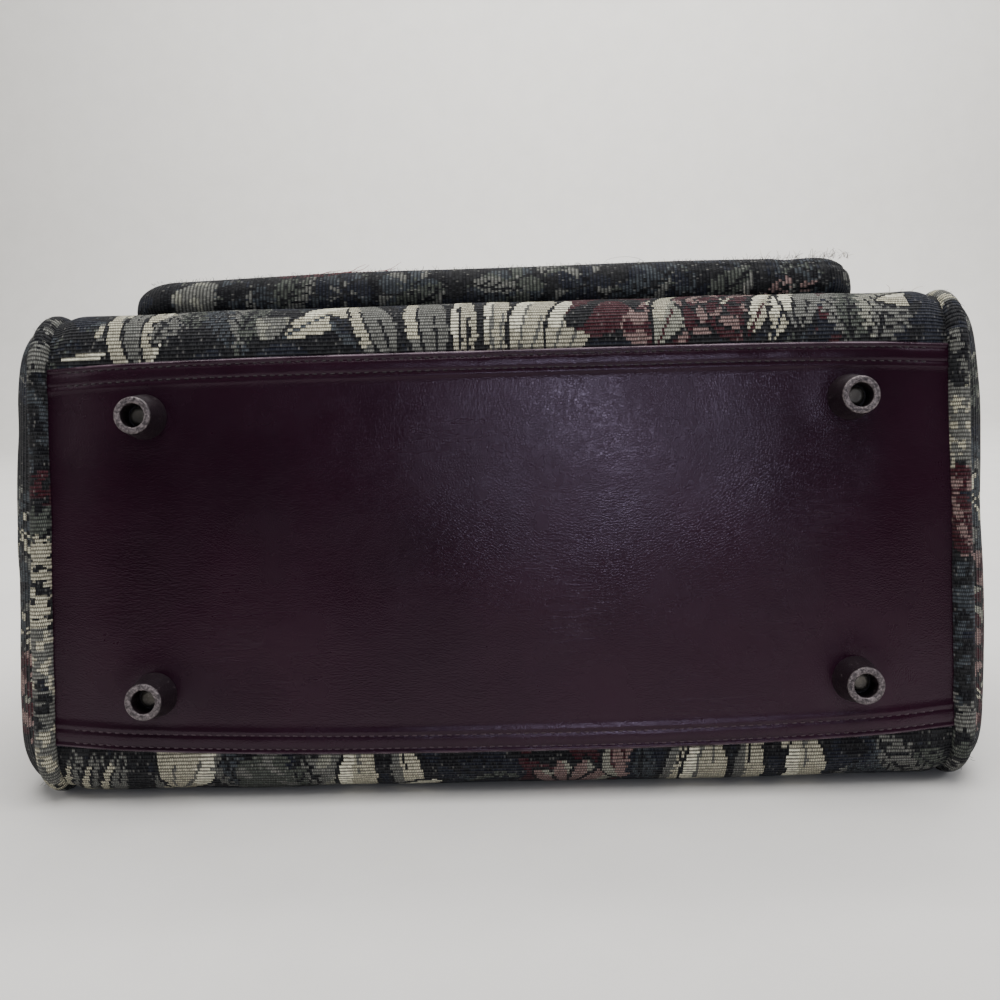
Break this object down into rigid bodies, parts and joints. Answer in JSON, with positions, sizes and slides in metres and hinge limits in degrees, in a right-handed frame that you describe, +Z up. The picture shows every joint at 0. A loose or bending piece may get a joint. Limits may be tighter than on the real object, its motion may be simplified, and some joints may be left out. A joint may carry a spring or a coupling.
{
  "type": "carpet bag",
  "caption": "Tapestry carpet bag with a leather base, metal feet, front pocket, zip mouth and rolled handles, lying on its back.",
  "frame": {"origin": "middle of the flat lower part of the back panel, on the surface that the bag lies on", "axes": "+X across the bag, +Y from the base with its feet towards the mouth and handles, +Z up, from the back panel to the front panel and its pocket"},
  "size_m": [0.4332, 0.4098, 0.2357],
  "materials": {
    "tapestry": "ribbed jacquard tapestry, dark ground with cream, grey and burgundy leaves and flowers",
    "base_leather": "dark oxblood leather, fine grain, semi-matt",
    "trim_leather": "dark oxblood leather",
    "lining": "plain woven cotton",
    "board": "fibreboard stiffener",
    "foot_metal": "dark plated metal, worn at the tips",
    "rivet_metal": "dark nickel",
    "ring_metal": "antiqued brass",
    "zip_metal": "antiqued brass",
    "zip_tape": "black woven tape"
  },
  "bodies": {
    "bag": {"back_panel": "tapestry", "base_board": "board", "base_panel": "base_leather", "end_gusset_left": "tapestry", "end_gusset_right": "tapestry", "foot_back_left": "foot_metal", "foot_back_right": "foot_metal", "foot_front_left": "foot_metal", "foot_front_right": "foot_metal", "foot_rivet_back_left": "rivet_metal", "foot_rivet_back_right": "rivet_metal", "foot_rivet_front_left": "rivet_metal", "foot_rivet_front_right": "rivet_metal", "foot_washer_back_left": "rivet_metal", "foot_washer_back_right": "rivet_metal", "foot_washer_front_left": "rivet_metal", "foot_washer_front_right": "rivet_metal", "front_panel": "tapestry", "front_pocket": "tapestry", "handle_tab_back_left": "trim_leather", "handle_tab_back_right": "trim_leather", "handle_tab_front_left": "trim_leather", "handle_tab_front_right": "trim_leather", "lining": "lining", "mouth_strip_back": "tapestry", "mouth_strip_front": "tapestry", "piping_left": "tapestry", "piping_right": "tapestry", "pocket_binding": "trim_leather", "tab_rivet_back_left": "rivet_metal", "tab_rivet_back_right": "rivet_metal", "tab_rivet_front_left": "rivet_metal", "tab_rivet_front_right": "rivet_metal", "zip_chain_back": "zip_metal", "zip_chain_front": "zip_metal", "zip_stop_left": "zip_metal", "zip_stop_right": "zip_metal", "zip_tape_back": "zip_tape", "zip_tape_front": "zip_tape"},
    "front_handle": {"handle_front": "trim_leather", "handle_ring_front_left": "ring_metal", "handle_ring_front_right": "ring_metal"},
    "back_handle": {"handle_back": "trim_leather", "handle_ring_back_left": "ring_metal", "handle_ring_back_right": "ring_metal"},
    "zip_slider": {"zip_slider": "zip_metal"},
    "zip_pull": {"zip_pull_ring": "zip_metal", "zip_pull_tab": "trim_leather"}
  },
  "joints": [
    {"name": "front_handle_hinge", "type": "hinge", "parent": "bag", "child": "front_handle", "pos_m": [0, 0.19566, 0.141], "axis": [-1, 0, 0], "range_deg": [0, 168]},
    {"name": "back_handle_hinge", "type": "hinge", "parent": "bag", "child": "back_handle", "pos_m": [0, 0.18036, 0.01084], "axis": [-1, 0, 0], "range_deg": [-13, 154]},
    {"name": "zip_slide", "type": "slide", "parent": "bag", "child": "zip_slider", "axis": [-1, 0, 0], "range_m": [0, 0.32]},
    {"name": "zip_pull_hinge", "type": "hinge", "parent": "zip_slider", "child": "zip_pull", "pos_m": [0.16, 0.20374, 0.07407], "axis": [1, 0, 0], "range_deg": [-4, 170]}
  ]
}
